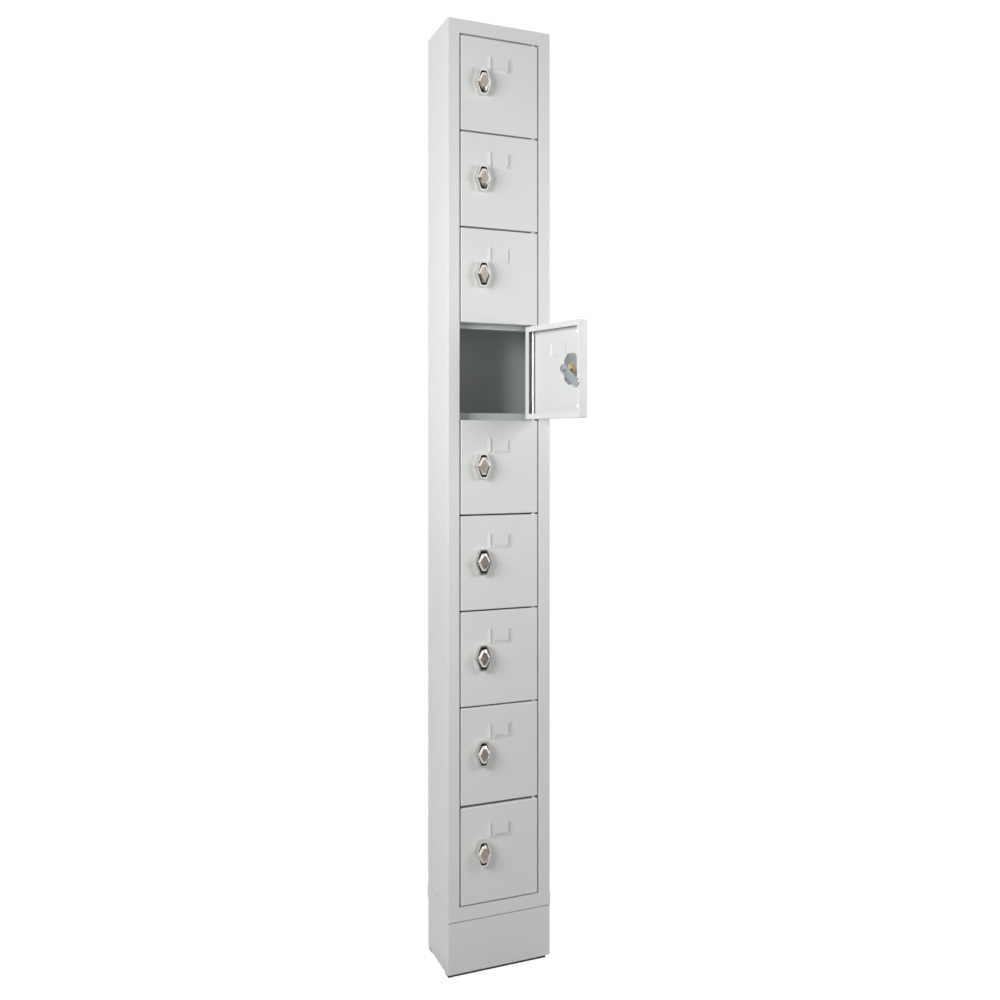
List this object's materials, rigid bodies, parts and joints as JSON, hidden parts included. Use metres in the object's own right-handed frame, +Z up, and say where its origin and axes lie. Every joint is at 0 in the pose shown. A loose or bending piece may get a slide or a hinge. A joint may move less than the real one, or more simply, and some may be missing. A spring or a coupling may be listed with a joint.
{
  "type": "phone charging locker column",
  "caption": "Narrow floor-standing steel column of small hinged phone compartments on a plinth, each door with a label holder and a padlockable rotary latch.",
  "frame": {"origin": "on the floor, at the centre of the body's footprint", "axes": "+Z up, front facing -Y, +X to the right as seen from the front"},
  "size_m": [0.2286, 0.2647, 1.8],
  "materials": {
    "body_paint": "light grey powder coat, satin, fine texture",
    "inner_paint": "light grey powder coat, satin",
    "door_paint": "light grey powder coat, satin, fine texture",
    "chrome": "bright nickel-chrome plate",
    "zinc_steel": "blue zinc plate",
    "latch_fixings": "zinc-plated plate with a brass nut",
    "foot_rubber": "black, matt",
    "black_plastic": "black, fine texture",
    "supply_case": "satin"
  },
  "bodies": {
    "cabinet": {"side_panel_left": "body_paint", "side_panel_right": "body_paint", "back_panel": "inner_paint", "top_panel": "body_paint", "base_tray": "body_paint", "shelves": "inner_paint", "hinge_tabs": "body_paint", "hinge_rod": "zinc_steel", "plinth": "body_paint", "plinth_bolts": "zinc_steel", "base_glides": "foot_rubber", "cable_duct": "inner_paint", "usb_outlets": "black_plastic", "power_supply": "supply_case", "mains_inlet": "black_plastic"},
    "door_1": {"door_1_panel": "door_paint", "door_1_latch_housing": "chrome", "door_1_latch_fixings": "latch_fixings"},
    "latch_1": {"door_1_latch_knob": "chrome", "door_1_latch_cam": "zinc_steel"},
    "door_2": {"door_2_panel": "door_paint", "door_2_latch_housing": "chrome", "door_2_latch_fixings": "latch_fixings"},
    "latch_2": {"door_2_latch_knob": "chrome", "door_2_latch_cam": "zinc_steel"},
    "door_3": {"door_3_panel": "door_paint", "door_3_latch_housing": "chrome", "door_3_latch_fixings": "latch_fixings"},
    "latch_3": {"door_3_latch_knob": "chrome", "door_3_latch_cam": "zinc_steel"},
    "door_4": {"door_4_panel": "door_paint", "door_4_latch_housing": "chrome", "door_4_latch_fixings": "latch_fixings"},
    "latch_4": {"door_4_latch_knob": "chrome", "door_4_latch_cam": "zinc_steel"},
    "door_5": {"door_5_panel": "door_paint", "door_5_latch_housing": "chrome", "door_5_latch_fixings": "latch_fixings"},
    "latch_5": {"door_5_latch_knob": "chrome", "door_5_latch_cam": "zinc_steel"},
    "door_6": {"door_6_panel": "door_paint", "door_6_latch_housing": "chrome", "door_6_latch_fixings": "latch_fixings"},
    "latch_6": {"door_6_latch_knob": "chrome", "door_6_latch_cam": "zinc_steel"},
    "door_7": {"door_7_panel": "door_paint", "door_7_latch_housing": "chrome", "door_7_latch_fixings": "latch_fixings"},
    "latch_7": {"door_7_latch_knob": "chrome", "door_7_latch_cam": "zinc_steel"},
    "door_8": {"door_8_panel": "door_paint", "door_8_latch_housing": "chrome", "door_8_latch_fixings": "latch_fixings"},
    "latch_8": {"door_8_latch_knob": "chrome", "door_8_latch_cam": "zinc_steel"},
    "door_9": {"door_9_panel": "door_paint", "door_9_latch_housing": "chrome", "door_9_latch_fixings": "latch_fixings"},
    "latch_9": {"door_9_latch_knob": "chrome", "door_9_latch_cam": "zinc_steel"}
  },
  "joints": [
    {"name": "door_1_hinge", "type": "hinge", "parent": "cabinet", "child": "door_1", "pos_m": [0.0715, -0.0545, 1.68225], "axis": [0, 0, 1], "range_deg": [0, 120]},
    {"name": "latch_1_turn", "type": "hinge", "parent": "door_1", "child": "latch_1", "pos_m": [-0.037, -0.06, 1.6845], "axis": [0, 1, 0], "range_deg": [0, 90]},
    {"name": "door_2_hinge", "type": "hinge", "parent": "cabinet", "child": "door_2", "pos_m": [0.0715, -0.0545, 1.50075], "axis": [0, 0, 1], "range_deg": [0, 120]},
    {"name": "latch_2_turn", "type": "hinge", "parent": "door_2", "child": "latch_2", "pos_m": [-0.037, -0.06, 1.503], "axis": [0, 1, 0], "range_deg": [0, 90]},
    {"name": "door_3_hinge", "type": "hinge", "parent": "cabinet", "child": "door_3", "pos_m": [0.0715, -0.0545, 1.31925], "axis": [0, 0, 1], "range_deg": [0, 120]},
    {"name": "latch_3_turn", "type": "hinge", "parent": "door_3", "child": "latch_3", "pos_m": [-0.037, -0.06, 1.3215], "axis": [0, 1, 0], "range_deg": [0, 90]},
    {"name": "door_4_hinge", "type": "hinge", "parent": "cabinet", "child": "door_4", "pos_m": [0.0715, -0.0545, 1.13775], "axis": [0, 0, 1], "range_deg": [-105, 15]},
    {"name": "latch_4_turn", "type": "hinge", "parent": "door_4", "child": "latch_4", "pos_m": [0.10489, -0.15788, 1.14], "axis": [-0.9659, -0.2588, 0], "range_deg": [-50, 40]},
    {"name": "door_5_hinge", "type": "hinge", "parent": "cabinet", "child": "door_5", "pos_m": [0.0715, -0.0545, 0.95625], "axis": [0, 0, 1], "range_deg": [0, 120]},
    {"name": "latch_5_turn", "type": "hinge", "parent": "door_5", "child": "latch_5", "pos_m": [-0.037, -0.06, 0.9585], "axis": [0, 1, 0], "range_deg": [0, 90]},
    {"name": "door_6_hinge", "type": "hinge", "parent": "cabinet", "child": "door_6", "pos_m": [0.0715, -0.0545, 0.77475], "axis": [0, 0, 1], "range_deg": [0, 120]},
    {"name": "latch_6_turn", "type": "hinge", "parent": "door_6", "child": "latch_6", "pos_m": [-0.037, -0.06, 0.777], "axis": [0, 1, 0], "range_deg": [0, 90]},
    {"name": "door_7_hinge", "type": "hinge", "parent": "cabinet", "child": "door_7", "pos_m": [0.0715, -0.0545, 0.59325], "axis": [0, 0, 1], "range_deg": [0, 120]},
    {"name": "latch_7_turn", "type": "hinge", "parent": "door_7", "child": "latch_7", "pos_m": [-0.037, -0.06, 0.5955], "axis": [0, 1, 0], "range_deg": [0, 90]},
    {"name": "door_8_hinge", "type": "hinge", "parent": "cabinet", "child": "door_8", "pos_m": [0.0715, -0.0545, 0.40937], "axis": [0, 0, 1], "range_deg": [0, 120]},
    {"name": "latch_8_turn", "type": "hinge", "parent": "door_8", "child": "latch_8", "pos_m": [-0.037, -0.06, 0.414], "axis": [0, 1, 0], "range_deg": [0, 90]},
    {"name": "door_9_hinge", "type": "hinge", "parent": "cabinet", "child": "door_9", "pos_m": [0.0715, -0.0545, 0.22112], "axis": [0, 0, 1], "range_deg": [0, 120]},
    {"name": "latch_9_turn", "type": "hinge", "parent": "door_9", "child": "latch_9", "pos_m": [-0.037, -0.06, 0.22575], "axis": [0, 1, 0], "range_deg": [0, 90]}
  ]
}
